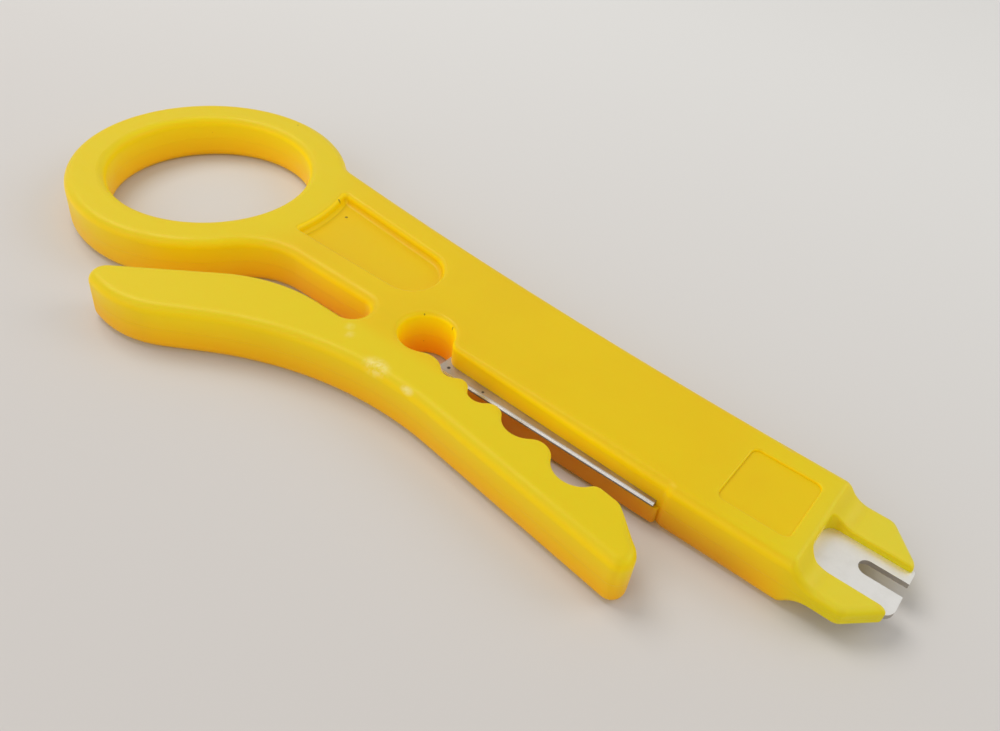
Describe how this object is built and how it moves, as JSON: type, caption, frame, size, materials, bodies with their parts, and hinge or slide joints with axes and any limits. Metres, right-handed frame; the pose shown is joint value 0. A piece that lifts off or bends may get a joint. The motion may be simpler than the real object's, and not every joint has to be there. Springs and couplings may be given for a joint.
{
  "type": "punch down tool",
  "caption": "Flat one-piece plastic cable stripper and punch-down tool with a finger ring, a springy notched jaw and a slotted steel blade at the nose.",
  "frame": {"origin": "centre of the finger ring's hole, half way through the thickness", "axes": "+X from the ring to the nose, +Y towards the plain back edge, +Z out of the upper flat; the squeeze lever is on the -Y side"},
  "size_m": [0.0949, 0.0357, 0.005],
  "materials": {
    "yellow_plastic": "soft gloss moulded",
    "blade_steel": "satin ground"
  },
  "bodies": {
    "handle": {"handle": "yellow_plastic", "flexure_neck": "yellow_plastic", "stripping_blade": "blade_steel", "punchdown_blade": "blade_steel"},
    "lever": {"lever_arm": "yellow_plastic"}
  },
  "joints": [
    {"name": "lever_flex", "type": "hinge", "parent": "handle", "child": "lever", "pos_m": [0.0314, -0.00535, 0], "axis": [0, 0, 1], "range_deg": [-9.2, 5.5], "stiffness_Nm_per_rad": 4, "deforming": ["flexure_neck"]}
  ]
}
